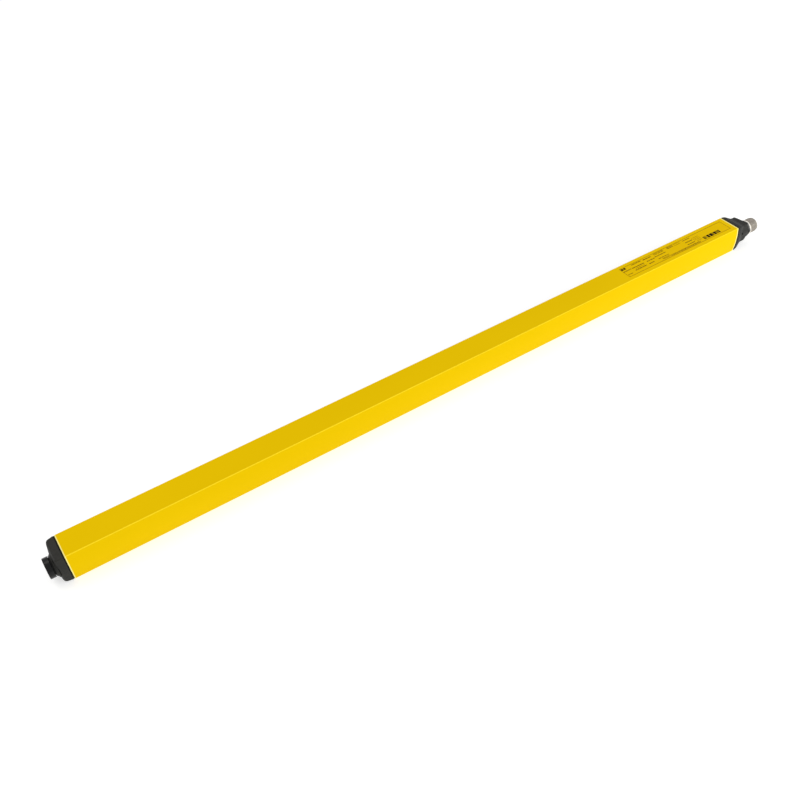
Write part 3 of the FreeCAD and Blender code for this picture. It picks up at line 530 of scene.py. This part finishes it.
# Thick bars: start along the film and length, then their shared middle and height, in mm.
PRINT_BARS = ((185.0, 2.0), (187.8, 1.8), (190.8, 1.2), (194.0, 5.2), (200.6, 6.8),
              (208.4, 1.4), (211.0, 5.0), (217.0, 1.8), (219.6, 1.6), (222.0, 2.8))
BARS_ACROSS = 7.2
BARS_HEIGHT = 7.6
DASH_SEED = 7


def fine_print():
    """The thin border and greeked rows in groups, as a rating plate has."""
    chance = random.Random(DASH_SEED)
    shape = bmesh.new()
    border(shape)
    for start, end, across, width in PRINT_ROWS:
        row_of_dashes(shape, chance, start, end, across, width)
    return as_mesh("rating_fine_print", shape)


def bold_print():
    """The solid blocks at the start and the row of thick bars at the end."""
    shape = bmesh.new()
    for start, across, length, width in PRINT_BLOCKS:
        bar(shape, start, across, length, width)
    for start, length in PRINT_BARS:
        bar(shape, start, BARS_ACROSS, length, BARS_HEIGHT)
    return as_mesh("rating_bold_print", shape)


FILM_RELIEF = 0.004 * MM
FILM = plain_surface("rating_film", (0.815, 0.525, 0.0006), 0.42, specular=0.01, tint=0.015,
                     relief=FILM_RELIEF)
FINE_INK = plain_surface("rating_fine_ink", (0.23, 0.12, 0.002), 0.6, specular=0.03, tint=0.10,
                         relief=FILM_RELIEF)
BOLD_INK = plain_surface("rating_bold_ink", (0.014, 0.007, 0.001), 0.6, specular=0.03, tint=0.10,
                         relief=FILM_RELIEF)
piece("rating_film", label_film(), "housing_yellow", FILM)
piece("rating_fine_print", fine_print(), "gasket_black", FINE_INK)
piece("rating_bold_print", bold_print(), "gasket_black", BOLD_INK)


# ---------------------------------------------------------------- studio

WHITE = (1.0, 1.0, 1.0)
FLOOR_HALF = 9.0
FLOOR_DROP = 0.2 * MM
FLOOR_GLOW = 0.56
WORLD_STRENGTH = 0.72
# Lights: name, place, aim, width, height, watts and colour.
LIGHTS = (
    ("front", (0.9, -2.5, 0.75), (0.2, 0.0, 0.0), 2.2, 0.9, 13.2, (0.92, 1.0, 0.85)),
    ("far_fill", (1.8, -1.1, 0.7), (0.66, 0.0, 0.02), 0.7, 0.5, 10.0, WHITE),
    ("near_top", (-1.0, 0.5, 1.3), (-0.6, 0.0, 0.05), 0.9, 0.9, 4.2, (1.0, 0.95, 0.9)),
)
CAMERA_PLACE = (-0.6257, -0.8181, 0.9602)
CAMERA_HEADING = 31.928
CAMERA_TILT = -44.545
CAMERA_ROLL = 2.536
CAMERA_LENS = 39.82
CAMERA_SENSOR = 36.0
CAMERA_NEAREST = 0.01


def pale_floor():
    """A plain pale floor that the bar lies on."""
    shape = bmesh.new()
    bmesh.ops.create_grid(shape, x_segments=1, y_segments=1, size=FLOOR_HALF)
    floor = bpy.data.objects.new("floor", as_mesh("floor", shape))
    floor.location = (0.0, 0.0, -FLOOR_DROP)
    bpy.context.scene.collection.objects.link(floor)
    surface = plain_surface("floor_pale", (0.62, 0.62, 0.62), 0.9, specular=0.0, tint=0.004,
                            cloud=1.5, grain=300.0, relief=0.01 * MM)
    shader = surface.node_tree.nodes["Principled BSDF"]
    shader.inputs["Emission Color"].default_value = (*WHITE, 1.0)
    shader.inputs["Emission Strength"].default_value = FLOOR_GLOW
    floor.data.materials.append(surface)


def pale_world():
    """An even white surround."""
    world = bpy.data.worlds.new("studio")
    world.use_nodes = True
    background = world.node_tree.nodes["Background"]
    background.inputs["Color"].default_value = (*WHITE, 1.0)
    background.inputs["Strength"].default_value = WORLD_STRENGTH
    bpy.context.scene.world = world


def soft_light(name, place, aim, width, height, power, colour):
    """A large rectangular light that faces a point."""
    data = bpy.data.lights.new(name, "AREA")
    data.shape = "RECTANGLE"
    data.size, data.size_y = width, height
    data.energy = power
    data.color = colour
    light = bpy.data.objects.new(name, data)
    light.location = place
    light.rotation_euler = (Vector(aim) - Vector(place)).to_track_quat("-Z", "Y").to_euler()
    bpy.context.scene.collection.objects.link(light)


def photo_camera():
    """The camera at the photograph's place, looking along the bar from its plugged end."""
    data = bpy.data.cameras.new("camera")
    data.sensor_width = CAMERA_SENSOR
    data.lens = CAMERA_LENS
    data.clip_start = CAMERA_NEAREST
    camera = bpy.data.objects.new("camera", data)
    turn = (Matrix.Rotation(math.radians(-CAMERA_HEADING), 4, "Z")
            @ Matrix.Rotation(math.radians(90.0 + CAMERA_TILT), 4, "X")
            @ Matrix.Rotation(math.radians(-CAMERA_ROLL), 4, "Z"))
    camera.matrix_world = Matrix.Translation(CAMERA_PLACE) @ turn
    bpy.context.scene.collection.objects.link(camera)
    bpy.context.scene.camera = camera


pale_floor()
pale_world()
for light_settings in LIGHTS:
    soft_light(*light_settings)
photo_camera()
bpy.context.scene.view_settings.view_transform = "Standard"
